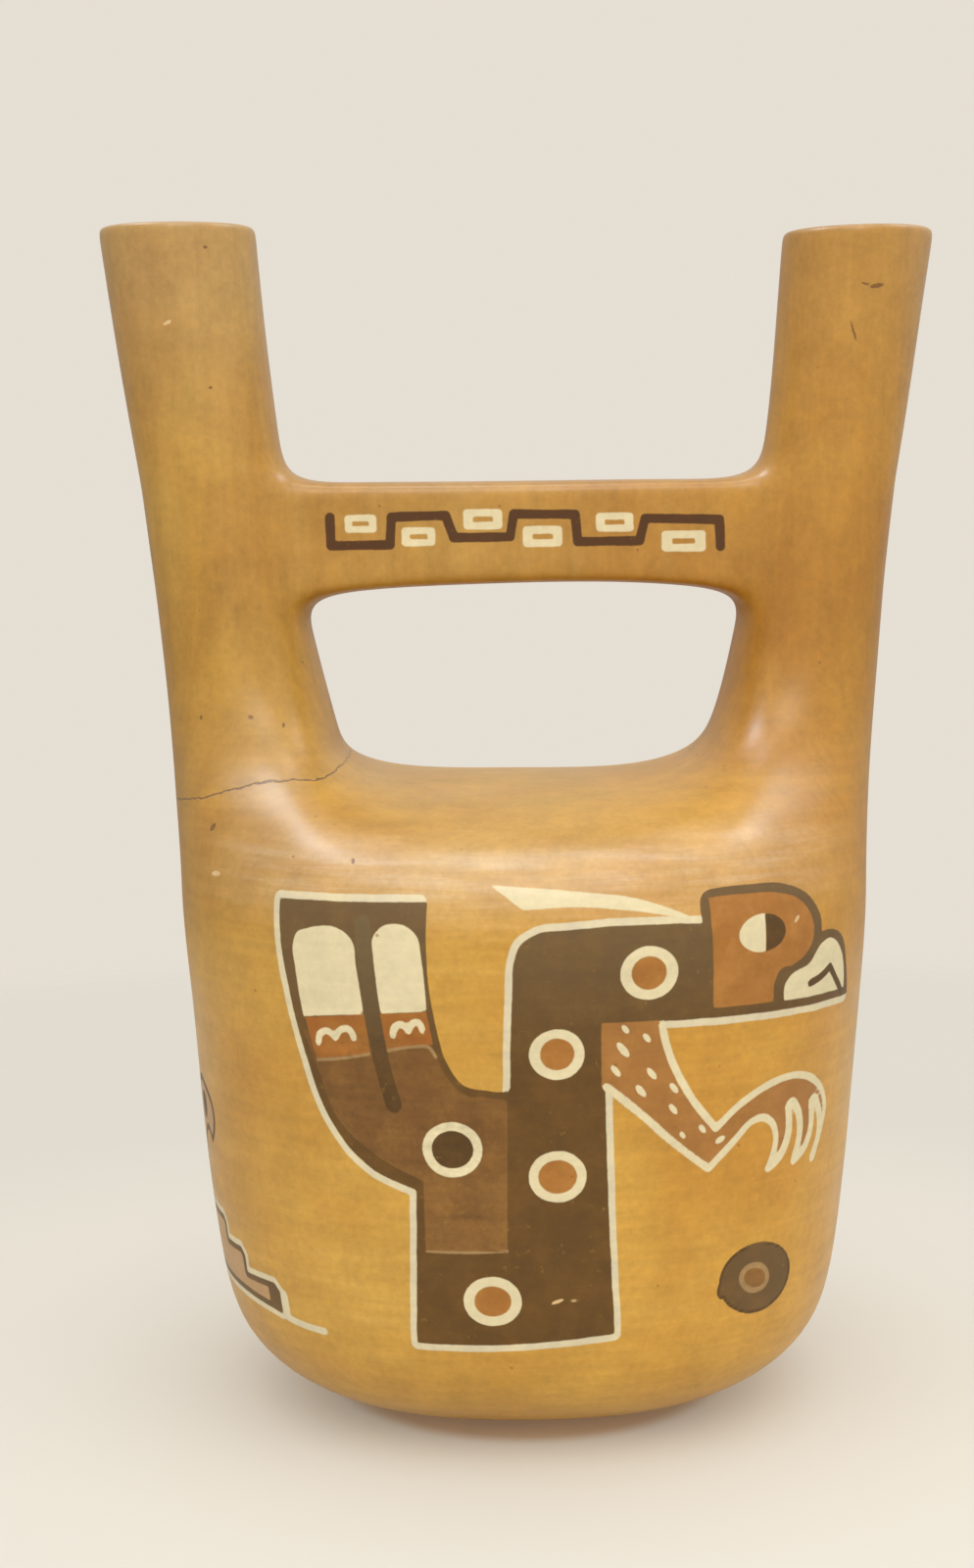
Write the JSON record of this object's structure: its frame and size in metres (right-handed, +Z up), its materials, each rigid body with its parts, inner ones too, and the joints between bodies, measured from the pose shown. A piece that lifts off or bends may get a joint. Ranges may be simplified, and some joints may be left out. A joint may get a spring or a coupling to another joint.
{
  "type": "double spout vessel",
  "caption": "Hollow earthenware vessel with two tall open spouts joined by a strap bridge, for holding and pouring liquid.",
  "frame": {"origin": "middle of the underside, on the surface that the vessel stands on", "axes": "+Z up through the spouts, +X from the left spout to the right one, -Y towards the painted front"},
  "size_m": [0.1766, 0.136, 0.2524],
  "materials": {
    "painted_slip": "burnished ochre slip with a satin gloss, painted with dark brown, terracotta and cream slips"
  },
  "bodies": {
    "root": {"vessel_bowl": "painted_slip", "vessel_shoulder": "painted_slip", "left_spout": "painted_slip", "right_spout": "painted_slip", "bridge": "painted_slip"}
  },
  "joints": []
}
